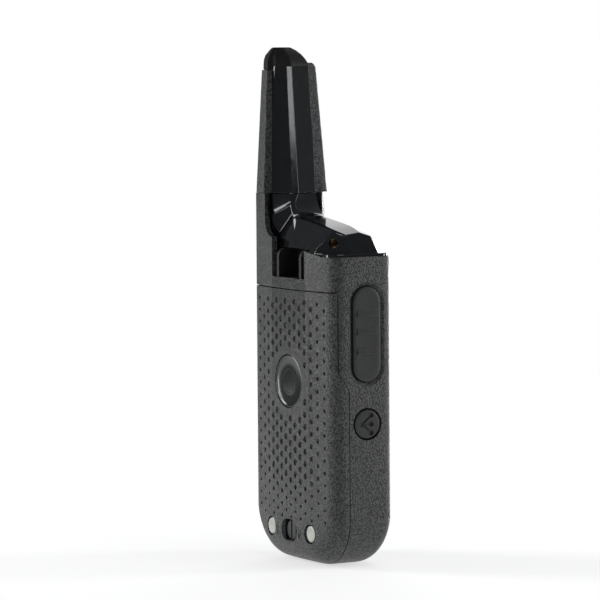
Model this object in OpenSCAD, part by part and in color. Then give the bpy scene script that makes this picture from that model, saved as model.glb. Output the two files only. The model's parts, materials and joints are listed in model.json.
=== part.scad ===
// Portable two-way radio: a tapering body with a fixed antenna at one corner.
// Z is up, the base rests on Z = 0, the speaker side faces -Y and the talk button is on the -X side.

/* [Body] */
// Width of the body
body_w = 57.4; // [56:0.2:59]
// Distance from the antenna plane to the front face
front_depth = 13.6; // [13.2:0.1:15]
// Height of the crown of the back above the antenna plane
crown_y = 12.8; // [12.7:0.1:13.4]
// Radius of the crowned back
crown_r = 160; // [140:5:180]
// Height of the shoulder where the gloss cover begins
shoulder_z = 109; // [108:0.5:110]
// Radius of the two bottom corners
corner_r = 17; // [14:1:18]
// Wall thickness of the shells
wall = 2; // [1.6:0.2:2.2]
// Depth of the parting line between front and rear, measured from the antenna plane
seam_y = 4.24; // [3.8:0.1:4.6]
// Gap between shells that come apart
seam_gap = 0.4; // [0.3:0.05:0.5]

/* [Antenna] */
// Height of the line where the antenna starts
antenna_z = 129.8; // [128:0.2:132]
// Height of the antenna's tip
tip_z = 181.5; // [175:0.5:185]
// Inner edge of the antenna stem
stem_x = 17.6; // [17:0.1:18]

/* [Battery door] */
// Height of the door's top edge
door_top = 96.5; // [95:0.5:97]
// Height of the round badge on the door
badge_z = 64.2; // [60:0.2:68]
// Radius of the badge
badge_r = 9.4; // [8:0.1:10]
// Sideways distance of each charging contact from the middle
contact_x = 13.7; // [13:0.1:14]
// Height of the charging contacts and the lock
contact_z = 11.3; // [11:0.1:12]
// Radius of a charging contact
contact_r = 2.95; // [2.8:0.05:3]
// Radius of the quarter-turn lock
lock_r = 3.425; // [3.4:0.005:3.43]

/* [Side buttons] */
// Height of the talk button's middle
ptt_z = 82; // [80:0.5:83]
// Length of the talk button
ptt_len = 33.4; // [32:0.2:34]
// Width of the talk button
ptt_w = 11.1; // [11:0.05:11.2]
// Depth position of both side buttons
side_y = -2.8; // [-3:0.1:-2.6]
// Height of the pairing button's middle
pair_z = 50.6; // [49:0.2:52]
// Radius of the pairing button
pair_r = 5.05; // [5:0.01:5.1]

/* [Belt clip slot] */
// Half width of the clip slot
clip_half = 11.3; // [11:0.1:11.5]
// Height of the slot's floor
clip_z = 100.7; // [100.5:0.1:101]
// Sideways distance of each guide rail from the middle
rail_x = 7.9; // [7.7:0.1:8]

/* [Hidden] */
$fn = 64;
half_w = body_w / 2;
back_r = 3.4;
front_r = 4;
base_back_r = 8;
base_front_r = 7;
cavity_ease = 6;
crown_c = crown_y - crown_r;
back_cx = half_w - back_r;
back_cy = crown_c + sqrt(pow(crown_r - back_r, 2) - pow(back_cx, 2));
front_cx = half_w - front_r;
front_cy = front_r - front_depth;
far = 60;
bulge_y = 8.2;
bulge_lo = 62;
bulge_hi = 100.5;
side_hole_gap = 0.35;
flange_x = -half_w + wall + 0.3;
flange_t = 0.8;
port_z = 82;
port_y = -2.8;
port_h = 15;
port_w = 8;
port_t = 1.1;
screw_at = [[-20.5, 12], [20.5, 12], [-21.8, 101], [21.8, 101]];
jack_at = [-22.9, 7.7, 113.6];
jack_turn = 40;
jack_r = 1.8;
jack_len = 9;
bush_at = [22.8, -0.6];
board_y = -9.2;
board_t = 1.2;
chassis_y = -1.2;
chassis_t = 1.2;
grille_z = 31;
grille_pitch = 3.4;
key_gap = 0.35;
key_top_y = -front_depth - 0.8;
round_keys = [["menu", -15, 70], ["call", 15, 70], ["power", 0, 56]];
wide_keys = [["up", 0, 74.5], ["down", 0, 65.5]];
round_key_r = 3.9;
wide_key_r = 3.1;
wide_key_l = 15;
window_w = 37;
window_h = 18.5;
window_z = 91.5;

// Antenna corners as [x, y, radius]: at its base, then just under its cap.
ant_base = [[18.1, 11.5, 0.5], [24.1, 6.3, 4.5], [24.5, -8, 4], [15, -10.7, 1.5]];
ant_top = [[18.4, 9.6, 0.5], [22, 5, 4.3], [23.4, -5.8, 3.2], [18.7, -8.8, 1.2]];
spine_base = [[stem_x, 9.2], [9.3, 5.3], [13.9, -7.2], [19.4, -7.2], [19.4, 9.2]];
spine_top = [[18, 8.3], [13.2, 4.7], [17, -6], [19.8, -6], [19.8, 8.3]];
cap_z = 174.6;

// ---- outlines -------------------------------------------------------------

// Plan section of the body, shrunk by g all round.
module plan(g) {
    r_b = back_r - g;
    r_f = front_r - g;
    reach = crown_r / (crown_r - back_r);
    intersection() {
        translate([0, crown_c]) circle(r = crown_r - g, $fn = 256);
        polygon([[-back_cx, back_cy], [back_cx, back_cy],
                 [back_cx * reach, crown_c + (back_cy - crown_c) * reach],
                 [0, crown_y + 1],
                 [-back_cx * reach, crown_c + (back_cy - crown_c) * reach]]);
    }
    for (s = [-1, 1]) {
        translate([s * back_cx, back_cy]) circle(r = r_b);
        translate([s * front_cx, front_cy]) circle(r = r_f);
    }
    polygon([[-front_cx, g - front_depth], [front_cx, g - front_depth], [front_cx, front_cy],
             [half_w - g, front_cy], [half_w - g, back_cy], [g - half_w, back_cy],
             [g - half_w, front_cy], [-front_cx, front_cy]]);
}

// Rectangle from [x0, z0] to [x1, z1] whose two lower corners have their own radii.
module tub(x0, x1, z0, z1, ra, rb) {
    translate([x0 + ra, z0 + ra]) circle(r = ra);
    translate([x1 - rb, z0 + rb]) circle(r = rb);
    polygon([[x0, z0 + ra], [x0 + ra, z0 + ra], [x0 + ra, z0], [x1 - rb, z0], [x1 - rb, z0 + rb],
             [x1, z0 + rb], [x1, z1], [x0, z1]]);
}

module stadium(len, w) {
    for (s = [-1, 1]) translate([0, s * (len - w) / 2]) circle(d = w);
    square([w, len - w], center = true);
}

// A 2-D outline drawn in [x, z], extruded from y0 to y1.
module along_y(y0, y1) {
    translate([0, y1, 0]) rotate([90, 0, 0]) linear_extrude(y1 - y0) children();
}

// A 2-D outline drawn in [y, z], extruded from x0 to x1.
module along_x(x0, x1) {
    translate([x0, 0, 0]) rotate([90, 0, 90]) linear_extrude(x1 - x0) children();
}

// The whole rounded body shrunk by g, up to height top. ease rounds its base further.
module hull_body(g, top, ease = 0) {
    side = corner_r - g + ease;
    front = base_front_r - g + ease / 2;
    rear = base_back_r - g + 1 + 1.5 * ease;
    intersection() {
        linear_extrude(top) plan(g);
        along_y(-far, far) tub(g - half_w, half_w - g, g, top, side, side);
        along_x(-far, far) tub(g - front_depth, crown_y + 1, g, top, front, rear);
    }
}

// Everything behind the parting line, which steps back around the talk button.
module behind_seam(shift) {
    along_x(-far, far)
        polygon([[seam_y + shift, -1], [far, -1], [far, far * 3], [seam_y + shift, far * 3],
                 [seam_y + shift, bulge_hi + 4], [bulge_y + shift, bulge_hi], [bulge_y + shift, bulge_lo + 7],
                 [seam_y + shift, bulge_lo]]);
}

// ---- housing shells -------------------------------------------------------

module boss_at(p) {
    translate([p[0], 0, p[1]]) along_y(wall - front_depth - 0.2, chassis_y - 0.1) circle(r = 2.6);
}

module key_hole(r) {
    along_y(-front_depth - 1, wall - front_depth + 1) circle(r = r + key_gap);
}

module grille_holes() {
    for (row = [-5:5], col = [-5:5])
        let (x = (col + (row % 2 == 0 ? 0 : 0.5)) * grille_pitch, z = row * grille_pitch * sin(60))
            if (norm([x, z]) < 17)
                translate([x, 0, grille_z + z]) along_y(-front_depth - 1, wall - front_depth + 1) circle(r = 0.9);
}

module front_housing() {
    color([0.16, 0.17, 0.17]) {
        difference() {
            union() {
                difference() {
                    hull_body(0, shoulder_z);
                    behind_seam(0);
                    hull_body(wall, shoulder_z + 1, cavity_ease);
                }
                for (p = screw_at) boss_at(p);
            }
            for (p = screw_at) translate([p[0], 0, p[1]]) along_y(-6, far) circle(r = 0.9);
            // talk button: shallow surround, then the opening
            translate([0, side_y, ptt_z]) along_x(-half_w - 1, 0.8 - half_w) stadium(ptt_len + 4.2, ptt_w + 3.2);
            translate([0, side_y, ptt_z]) along_x(-half_w - 1, -20)
                stadium(ptt_len + 2 * side_hole_gap, ptt_w + 2 * side_hole_gap);
            translate([0, side_y, pair_z]) along_x(-half_w - 1, -20) circle(r = pair_r + 0.55);
            // charging port: a pocket for its cover, then the socket opening
            translate([half_w - port_t - 0.35, port_y - port_w / 2, port_z - port_h / 2]) cube([far, port_w, port_h]);
            translate([20, port_y - 2.2, port_z - 5]) cube([far, 4.4, 10]);
            // front face: window, keys, speaker and microphone
            translate([0, 0, window_z]) along_y(-front_depth - 1, wall - front_depth + 1)
                square([window_w, window_h], center = true);
            for (k = round_keys) translate([k[1], 0, k[2]]) key_hole(round_key_r);
            for (k = wide_keys) translate([k[1], 0, k[2]]) along_y(-front_depth - 1, wall - front_depth + 1)
                rotate(90) stadium(wide_key_l + 2 * key_gap, 2 * (wide_key_r + key_gap));
            grille_holes();
            translate([17, 0, 56]) key_hole(0.35);
            translate([-17, 0, 56]) key_hole(1.0 - key_gap);
        }
        // front half of the antenna stem
        translate([0, 0, shoulder_z - 2]) linear_extrude(antenna_z - shoulder_z + 1.9)
            polygon([[13.4, -9.4], [15.2, -11.5], [26.6, -11.5], [half_w, -9.2], [half_w, seam_y],
                     [half_w - wall, seam_y], [half_w - wall, 1 - 9.2], [25.6, -9.5], [16, -9.5], [15, -8.6]]);
    }
}

module rear_housing() {
    fillet = 6;
    shelf_z = 114.6;
    color([0.16, 0.17, 0.17]) difference() {
        hull_body(0, antenna_z - 0.1);
        hull_body(wall, antenna_z + 1);
        translate([-far, -far, -1]) cube([2 * far, 2 * far, door_top + seam_gap + 1]);
        translate([-far, -far, -1]) cube([2 * far, far + seam_y + 0.15, 2 * far + far]);
        difference() {
            translate([-far, -far, -1]) cube([2 * far, 2 * far, bulge_hi + 5]);
            behind_seam(0.15);
        }
        // open shoulder on the button side, and the step up to the stem
        translate([-far, -far, shoulder_z]) cube([far + clip_half, 2 * far, far]);
        along_y(-far, far) difference() {
            polygon([[clip_half - 0.1, shelf_z], [stem_x, shelf_z], [stem_x, antenna_z + 2],
                     [clip_half - 0.1, antenna_z + 2]]);
            difference() {
                translate([stem_x - fillet, shelf_z]) square(fillet);
                translate([stem_x - fillet, shelf_z + fillet]) circle(r = fillet);
            }
        }
        // belt clip slot, open at the top
        translate([-clip_half, seam_y, clip_z]) cube([2 * clip_half, far, far]);
    }
}

module top_cover() {
    roof = [[-28, 109.2], [-28, 113], [-25.6, 116.4], [-9.5, 120.3], [-0.5, 121.8], [4, 123.2],
            [6.5, 124.9], [8.2, 127.4], [9.2, antenna_z - 0.1], [17.4, antenna_z - 0.1], [17.4, 109.2]];
    footprint = [[-28, -9.3], [-25.5, -11.4], [12.6, -11.4], [13.2, -9.3], [14.8, -8.4], [17.4, -8.4],
                 [17.4, 9.1], [9.3, 5.3], [6.5, 7.6], [-6.5, 9.8], [-19.5, 10.2], [-28, 2.8]];
    color([0.02, 0.02, 0.03]) difference() {
        union() {
            intersection() {
                along_y(-far, far) polygon(roof);
                linear_extrude(far * 3) polygon(footprint);
            }
            intersection() {
                translate([0, 0, shoulder_z + 0.05]) linear_extrude(1) plan(0.5);
                translate([-far, -far, 0]) cube([far + 13, 2 * far, far * 3]);
            }
        }
        intersection() {
            along_y(-far, far) offset(delta = -1.8) polygon(concat([[-28, 100], [17.4, 100]],
                [for (i = [len(roof) - 2:-1:1]) roof[i]]));
            linear_extrude(far * 3) offset(delta = -1.8) polygon(footprint);
        }
        translate([-clip_half, seam_y - 1.2, 100]) cube([2 * clip_half, far, 11.2]);
        translate([clip_half - 1, 9.4, 100]) cube([far, far, far]);
        translate(jack_at) rotate([-90, 0, jack_turn]) translate([0, 0, -jack_len]) cylinder(r = 3.3, h = jack_len - 0.9);
        translate(jack_at) rotate([-90, 0, jack_turn]) translate([0, 0, -2]) cylinder(r = jack_r, h = 9);
    }
}

// Floor, back panel and two rails that hold the tongue of a belt clip.
module clip_guide() {
    top = 110.8;
    rail_t = 1.5;
    nose = 3;
    rear = 12;
    inner = 4.4;
    color([0.05, 0.05, 0.05]) {
        translate([0.1 - clip_half, inner, clip_z - 1.8]) cube([2 * clip_half - 0.2, rear - 2.2 - inner, 1.7]);
        translate([0.1 - clip_half, inner - 1.2, clip_z - 1.8]) cube([2 * clip_half - 0.2, 1.2, top - clip_z + 1.8]);
        for (s = [-1, 1]) translate([s * rail_x - rail_t / 2, 0, 0]) along_x(0, rail_t) {
            translate([rear - nose, top - nose]) circle(r = nose);
            polygon([[inner, clip_z - 0.1], [rear, clip_z - 0.1], [rear, top - nose], [rear - nose, top - nose],
                     [rear - nose, top], [inner, top]]);
        }
    }
}

// ---- inside ---------------------------------------------------------------

module chassis() {
    bay_x = 20.4;
    bay_lo = 22.5;
    bay_hi = 93;
    bay_t = 1.6;
    bay_y = 7.2;
    color([0.3, 0.31, 0.32]) difference() {
        intersection() {
            union() {
                translate([-24.1, chassis_y, 3]) cube([48.2, chassis_t, 103.5]);
                for (x = [-bay_x - bay_t, bay_x]) translate([x, 0, bay_lo]) cube([bay_t, bay_y, bay_hi - bay_lo]);
                for (z = [bay_lo - bay_t, bay_hi])
                    translate([-bay_x - bay_t, 0, z]) cube([2 * (bay_x + bay_t), bay_y, bay_t]);
                for (s = [-1, 1]) translate([s * contact_x, 0, contact_z]) along_y(chassis_y, 7.2) circle(r = 4);
            }
            hull_body(wall + 0.4, 120, cavity_ease);
        }
        for (p = screw_at) translate([p[0], 0, p[1]]) along_y(-5, 5) circle(r = 1.4);
        for (s = [-1, 1]) translate([s * contact_x, 0, contact_z]) along_y(-5, far) circle(r = 1.7);
        translate([-30, -5, ptt_z - 5]) cube([10.4, 6, 10]);
        translate([-30, -5, pair_z - 4]) cube([10.4, 6, 8]);
        translate([19.6, -5, port_z - 5.5]) cube([10.4, 5, 11]);
    }
}

module main_board() {
    color([0.05, 0.28, 0.14]) difference() {
        translate([-23.6, board_y, 53]) cube([47.2, board_t, 43]);
        for (z = [56, 93]) for (s = [-1, 1]) translate([s * 21.4, 0, z]) along_y(board_y - 1, 0) circle(r = 1.1);
    }
    color([0.1, 0.1, 0.1]) for (p = [[-17, 60], [-17, 66], [17, 60], [17, 67], [17, 90]])
        translate([p[0] - 2.4, board_y + board_t, p[1] - 2]) cube([4.8, 1.1, 4]);
}

module rf_shield() {
    color([0.75, 0.75, 0.74]) difference() {
        translate([-13, board_y + board_t, 58]) cube([26, 2.8, 32]);
        translate([-12.6, board_y, 58.4]) cube([25.2, board_t + 2.4, 31.2]);
        for (i = [-2:2], j = [-2:2]) translate([i * 4.5, 0, 74 + j * 5.5]) along_y(-9, 0) circle(r = 0.7);
    }
}

module display_module() {
    color([0.8, 0.82, 0.8]) translate([-19, -11.3, window_z - 9.6]) cube([38, 1.1, 19.2]);
    color([0.42, 0.5, 0.42]) translate([-15, -11.6, window_z - 7]) cube([30, 0.3, 14]);
    color([0.3, 0.3, 0.3]) translate([-17, -10.2, window_z - 8.6]) cube([34, 1, 17.2]);
}

module display_window() {
    color([0.08, 0.1, 0.12, 0.6]) translate([0, 0, window_z]) along_y(0.25 - front_depth, wall - front_depth - 0.1)
        square([window_w - 0.2, window_h - 0.2], center = true);
}

module speaker() {
    color([0.25, 0.25, 0.26]) translate([0, 0, grille_z]) {
        along_y(-11, -9.4) difference() {
            circle(r = 18);
            circle(r = 15.5);
        }
        along_y(-10.2, -9.4) circle(r = 15.5);
        along_y(-9.4, -6.6) circle(r = 9);
    }
    color([0.6, 0.6, 0.58]) translate([0, 0, grille_z]) along_y(-6.6, -5.6) circle(r = 7);
    color([0.1, 0.1, 0.1]) translate([0, -10.2, grille_z]) intersection() {
        sphere(r = 4.5);
        translate([-9, -0.9, -9]) cube([18, 0.9, 18]);
    }
}

module speaker_cloth() {
    color([0.07, 0.07, 0.07]) translate([0, 0, grille_z]) along_y(wall - front_depth + 0.02, -11.1) circle(r = 18);
}

module microphone() {
    color([0.7, 0.7, 0.68]) translate([17, 0, 56]) along_y(-11.3, board_y) circle(r = 2);
}

module status_led() {
    color([0.85, 0.9, 0.85, 0.8]) translate([-17, 0, 56]) {
        along_y(-front_depth, wall - front_depth) circle(r = 0.95);
        along_y(wall - front_depth, board_y) circle(r = 1.6);
    }
}

module battery_pack() {
    pack_x = 39.6;
    pack_z0 = 26;
    pack_h = 63;
    color([0.12, 0.2, 0.42]) difference() {
        translate([-pack_x / 2, 0.2, pack_z0]) cube([pack_x, 8.4, pack_h]);
        for (s = [-1, 1]) translate([s * (pack_x / 2), 0.2 + 4.2, 0])
            difference() {
                translate([s > 0 ? -2 : -1, -5, 0]) cube([3, 10, 100]);
                for (d = [-1, 1]) translate([-s * 2, d * 2.2, 0]) cylinder(r = 2, h = 100);
                translate([s > 0 ? -3 : -1, -2.2, 0]) cube([4, 4.4, 100]);
            }
    }
    color([0.85, 0.7, 0.3]) for (x = [-8, 0, 8])
        translate([x - 2, 2.4, pack_z0 - 0.2]) cube([4, 4, 0.2]);
}

module battery_contacts() {
    color([0.85, 0.7, 0.3]) for (x = [-8, 0, 8]) {
        translate([x - 1.6, 1, 22.6]) cube([3.2, 6, 0.4]);
        translate([x - 1.6, 5.4, 23]) cube([3.2, 1.2, 2.7]);
    }
}

module charge_contacts() {
    color([0.8, 0.8, 0.78]) for (s = [-1, 1]) translate([s * contact_x, 0, contact_z]) {
        along_y(7.2, 11.85) circle(r = contact_r);
        along_y(chassis_y, 7.2) circle(r = 1.6);
    }
}

module housing_screws() {
    color([0.5, 0.5, 0.5]) for (p = screw_at) translate([p[0], 0, p[1]]) {
        along_y(-5.8, 0) circle(r = 0.9);
        along_y(0, 1.4) difference() {
            circle(r = 2.1);
            square([2.6, 0.7], center = true);
            square([0.7, 2.6], center = true);
        }
    }
}

module ptt_switch() {
    color([0.15, 0.15, 0.15]) translate([-23.6, side_y - 2.6, ptt_z - 3.5]) cube([3.6, 5.2, 7]);
    color([0.8, 0.75, 0.6]) translate([0, side_y, ptt_z]) along_x(-24.1, -23.6) circle(r = 1.4);
}

module pair_switch() {
    color([0.15, 0.15, 0.15]) translate([-23.6, side_y - 2.2, pair_z - 2.5]) cube([3.6, 4.4, 5]);
    color([0.8, 0.75, 0.6]) translate([0, side_y, pair_z]) along_x(-24.2, -23.6) circle(r = 1.1);
}

module accessory_jack() {
    color([0.6, 0.58, 0.5]) translate(jack_at) rotate([-90, 0, jack_turn]) translate([0, 0, 0.1 - jack_len])
        difference() {
            cylinder(r = 3.2, h = jack_len - 1.1);
            translate([0, 0, -1]) cylinder(r = jack_r, h = 20);
        }
}

module usb_socket() {
    color([0.7, 0.7, 0.7]) translate([20, port_y, port_z]) difference() {
        translate([0, -1.9, -4.5]) cube([6.4, 3.8, 9]);
        translate([1, -1.5, -4.1]) cube([9, 3, 8.2]);
    }
    color([0.1, 0.1, 0.1]) translate([21, port_y - 0.3, port_z - 3]) cube([4, 0.6, 6]);
}

// ---- antenna --------------------------------------------------------------

module antenna_bush() {
    color([0.75, 0.6, 0.3]) translate([bush_at[0], bush_at[1], 113]) difference() {
        union() {
            cylinder(r = 3, h = 16.6);
            cylinder(r = 3.6, h = 2);
        }
        translate([0, 0, 10]) cylinder(r = 1.2, h = 10);
    }
}

module antenna_coil() {
    turns = 17;
    pitch = 2.2;
    color([0.72, 0.45, 0.25]) translate([bush_at[0], bush_at[1], antenna_z - 6]) {
        cylinder(r = 1.15, h = 8);
        translate([0, 0, 6.1]) cylinder(r = 1.9, h = 36);
        for (i = [0:turns - 2]) translate([0, 0, 7.4 + i * pitch]) cylinder(r = 2.3, h = 0.9);
    }
}

// Solid between the base corners and the corners under the cap.
module antenna_form() {
    hull() {
        translate([0, 0, antenna_z + 0.1]) linear_extrude(0.01)
            for (c = ant_base) translate([c[0], c[1]]) circle(r = c[2], $fn = 48);
        translate([0, 0, cap_z - 0.1]) linear_extrude(0.01)
            for (c = ant_top) translate([c[0], c[1]]) circle(r = c[2], $fn = 48);
    }
}

module spine_form(g) {
    hull() {
        translate([0, 0, antenna_z + 0.1 - g]) linear_extrude(0.01)
            polygon([for (i = [0:4]) spine_base[i] + (i > 2 ? [g, 0] : [0, 0]) + (i % 4 == 0 ? [0, g] : [0, -g])]);
        translate([0, 0, cap_z + g]) linear_extrude(0.01)
            polygon([for (i = [0:4]) spine_top[i] + (i > 2 ? [g, 0] : [0, 0]) + (i % 4 == 0 ? [0, g] : [0, -g])]);
    }
}

module antenna_spine() {
    color([0.02, 0.02, 0.03]) {
        spine_form(0);
        hull() {
            translate([0, 0, cap_z]) linear_extrude(0.01) {
                for (c = ant_top) translate([c[0], c[1]]) circle(r = c[2] - 0.1, $fn = 48);
                polygon(spine_top);
            }
            translate([0, 0, tip_z - 2.4]) linear_extrude(0.01)
                polygon([[18.6, 8.6], [24, 7.2], [25.6, 3], [24.6, -3.4], [19.8, -5.8], [15.2, 3.6]]);
            translate([0, 0, tip_z - 0.01]) linear_extrude(0.01)
                polygon([[19.2, 6], [22.6, 5.4], [23.4, 2], [22, -2], [19.6, -2.4], [17.6, 3]]);
        }
    }
}

module antenna_half(side) {
    color([0.16, 0.17, 0.17]) difference() {
        antenna_form();
        spine_form(0.1);
        translate([0, side > 0 ? 0.05 - far : -0.05, 100]) cube([far, far, far * 2]);
        translate([bush_at[0], bush_at[1], 100]) cylinder(r = 2.7, h = 70);
    }
}

module antenna_rear_shell() {
    antenna_half(1);
}

module antenna_front_shell() {
    antenna_half(-1);
}

// ---- buttons --------------------------------------------------------------

module ptt_button() {
    color([0.11, 0.12, 0.12]) translate([0, side_y, ptt_z]) {
        along_x(-half_w - 0.4, flange_x) stadium(ptt_len, ptt_w);
        along_x(flange_x, flange_x + flange_t) stadium(ptt_len + 2.4, ptt_w + 2.4);
        for (dz = [-7, 0, 6.5]) translate([0, 0, dz]) along_x(-half_w - 0.7, -half_w)
            square([7.6, 1.1], center = true);
    }
}

module pair_button() {
    hub = [2.2, 0];
    tips = [[-1.5, 3.1], [-1.5, 0], [-1.5, -3.1]];
    color([0.11, 0.12, 0.12]) translate([0, side_y, pair_z]) difference() {
        union() {
            along_x(0.1 - half_w, flange_x) circle(r = pair_r);
            along_x(flange_x, flange_x + flange_t) circle(r = pair_r + 1.2);
        }
        along_x(-half_w - 1, 0.45 - half_w) {
            translate(hub) circle(r = 0.85);
            for (t = tips) {
                translate(t) circle(r = 0.85);
                polygon([hub + [0, 0.25], hub - [0, 0.25], t - [0, 0.25], t + [0, 0.25]]);
            }
        }
    }
}

// A round key whose flange sits behind the front wall.
module round_key(k) {
    color([0.1, 0.1, 0.11]) translate([k[1], 0, k[2]]) {
        along_y(key_top_y, wall - front_depth + 0.3) circle(r = round_key_r);
        along_y(wall - front_depth + 0.3, wall - front_depth + 1) circle(r = round_key_r + 0.9);
    }
}

module wide_key(k) {
    color([0.1, 0.1, 0.11]) translate([k[1], 0, k[2]]) {
        along_y(key_top_y, wall - front_depth + 0.3) rotate(90) stadium(wide_key_l, 2 * wide_key_r);
        along_y(wall - front_depth + 0.3, wall - front_depth + 1) rotate(90)
            stadium(wide_key_l + 1.4, 2 * wide_key_r + 1.4);
    }
}

module key_menu() {
    round_key(round_keys[0]);
}

module key_call() {
    round_key(round_keys[1]);
}

module key_power() {
    round_key(round_keys[2]);
}

module key_up() {
    wide_key(wide_keys[0]);
}

module key_down() {
    wide_key(wide_keys[1]);
}

// ---- battery door ---------------------------------------------------------

module battery_door() {
    color([0.16, 0.17, 0.17]) difference() {
        union() {
            difference() {
                intersection() {
                    hull_body(0, door_top);
                    behind_seam(0.35);
                }
                hull_body(wall, door_top + 1, cavity_ease);
            }
            intersection() {
                translate([0, 0, contact_z]) along_y(6.6, 12) circle(r = 6.4);
                hull_body(wall - 0.5, door_top);
            }
            for (s = [-1, 1]) translate([s * 15 - 3, 8.2, door_top - 6]) {
                cube([6, 0.9, 7.6]);
                cube([6, 2.7, 4]);
            }
        }
        translate([0, 0, badge_z]) along_y(crown_y - 1.3, far) circle(r = badge_r + 0.15);
        for (s = [-1, 1]) translate([s * contact_x, 0, contact_z]) along_y(5, far) circle(r = contact_r + 0.55);
        translate([0, 0, contact_z]) along_y(5, far) circle(r = lock_r + 0.06);
        translate([0, 0, contact_z]) along_y(9.6, far) rotate(90) stadium(10.9, 8);
    }
}

module badge_disc() {
    color([0.03, 0.03, 0.03]) translate([0, 0, badge_z]) along_y(crown_y - 1.25, crown_y - 0.35) circle(r = badge_r);
}

module door_lock() {
    color([0.09, 0.09, 0.09]) translate([0, 0, contact_z]) difference() {
        union() {
            along_y(5.9, 11.6) circle(r = lock_r);
            along_y(9.7, 10.2) circle(r = lock_r + 0.3);
        }
        along_y(10.4, far) square([0.9, 2 * lock_r + 2], center = true);
    }
}

module lock_cam() {
    color([0.6, 0.6, 0.58]) translate([0, 0, contact_z]) along_y(4.5, 5.9) {
        circle(r = 3);
        square([11, 3.4], center = true);
    }
}

// Rubber flap over the charging port, hinged on its front edge.
module port_cover() {
    gap = 0.35;
    color([0.1, 0.1, 0.1]) translate([half_w - port_t, port_y - port_w / 2 + gap, port_z - port_h / 2 + gap]) {
        cube([port_t, port_w - 2 * gap, port_h - 2 * gap]);
        translate([-0.6, 2.2, 4.6]) cube([0.7, 2.6, 5.2]);
    }
}

front_housing();
rear_housing();
top_cover();
clip_guide();
chassis();
main_board();
rf_shield();
display_module();
display_window();
speaker();
speaker_cloth();
microphone();
status_led();
battery_pack();
battery_contacts();
charge_contacts();
housing_screws();
ptt_switch();
pair_switch();
accessory_jack();
usb_socket();
antenna_bush();
antenna_coil();
antenna_spine();
antenna_rear_shell();
antenna_front_shell();
ptt_button();
pair_button();
key_menu();
key_up();
key_down();
key_call();
key_power();
battery_door();
badge_disc();
door_lock();
lock_cam();
port_cover();
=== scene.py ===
import json
import math

import bmesh
import bpy
from mathutils import Matrix, Vector
from mathutils.bvhtree import BVHTree
from mathutils.interpolate import poly_3d_calc

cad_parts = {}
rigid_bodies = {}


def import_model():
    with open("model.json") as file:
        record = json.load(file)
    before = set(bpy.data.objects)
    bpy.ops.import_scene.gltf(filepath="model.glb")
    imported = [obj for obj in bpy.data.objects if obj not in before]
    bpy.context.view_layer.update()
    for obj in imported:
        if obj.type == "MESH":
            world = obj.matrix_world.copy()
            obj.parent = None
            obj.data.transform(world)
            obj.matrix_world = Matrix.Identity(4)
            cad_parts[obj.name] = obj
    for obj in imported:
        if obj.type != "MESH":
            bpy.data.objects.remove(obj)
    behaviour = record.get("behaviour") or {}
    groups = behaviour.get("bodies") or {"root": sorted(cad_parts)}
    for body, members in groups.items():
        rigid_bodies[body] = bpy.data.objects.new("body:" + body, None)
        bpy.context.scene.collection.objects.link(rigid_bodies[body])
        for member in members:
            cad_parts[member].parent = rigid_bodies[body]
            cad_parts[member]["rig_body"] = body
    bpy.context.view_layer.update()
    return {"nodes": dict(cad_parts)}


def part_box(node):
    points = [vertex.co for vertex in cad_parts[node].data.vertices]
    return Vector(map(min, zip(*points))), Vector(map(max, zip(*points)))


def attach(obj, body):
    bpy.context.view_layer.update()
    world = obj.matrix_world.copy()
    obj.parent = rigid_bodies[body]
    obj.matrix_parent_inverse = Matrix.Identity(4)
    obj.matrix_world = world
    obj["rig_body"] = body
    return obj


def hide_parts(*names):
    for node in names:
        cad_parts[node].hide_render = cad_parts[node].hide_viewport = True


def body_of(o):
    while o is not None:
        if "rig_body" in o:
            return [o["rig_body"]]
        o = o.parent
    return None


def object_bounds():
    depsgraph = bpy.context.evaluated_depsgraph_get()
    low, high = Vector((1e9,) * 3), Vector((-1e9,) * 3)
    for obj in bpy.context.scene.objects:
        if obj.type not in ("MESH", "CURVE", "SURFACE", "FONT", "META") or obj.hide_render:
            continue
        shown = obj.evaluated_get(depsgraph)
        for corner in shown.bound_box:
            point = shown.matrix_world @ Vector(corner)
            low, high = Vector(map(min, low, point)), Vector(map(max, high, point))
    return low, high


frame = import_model()
NODES = frame["nodes"]
MM = 0.001  # a millimetre, in metres

# ---------------------------------------------------------------- camera


def make_camera():
    """Long lens, a little above the radio, looking at its back and its -X side."""
    azimuth, distance, height = math.radians(60.025), 1319.38 * MM, 191.17 * MM
    pan, pitch, roll = map(math.radians, (0.286, 4.2827, -0.4044))
    place = Vector((-math.sin(azimuth) * distance, math.cos(azimuth) * distance, height))
    turn = azimuth + pan
    ahead = Vector((math.sin(turn) * math.cos(pitch), -math.cos(turn) * math.cos(pitch), -math.sin(pitch)))
    level = ahead.cross(Vector((0, 0, 1))).normalized()
    upright = level.cross(ahead)
    right = level * math.cos(roll) + upright * math.sin(roll)
    up = upright * math.cos(roll) - level * math.sin(roll)
    data = bpy.data.cameras.new("camera")
    data.lens, data.sensor_width = 224.45, 36
    data.clip_start, data.clip_end = 0.05, 50
    camera = bpy.data.objects.new("camera", data)
    rotation = Matrix((right, up, -ahead)).transposed().to_4x4()
    camera.matrix_world = Matrix.Translation(place) @ rotation
    bpy.context.scene.collection.objects.link(camera)
    bpy.context.scene.camera = camera


# ---------------------------------------------------------------- light; lamps and floor in metres


LAMP_TARGET = Vector((0, 0, 0.09))  # the middle of the radio


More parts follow.
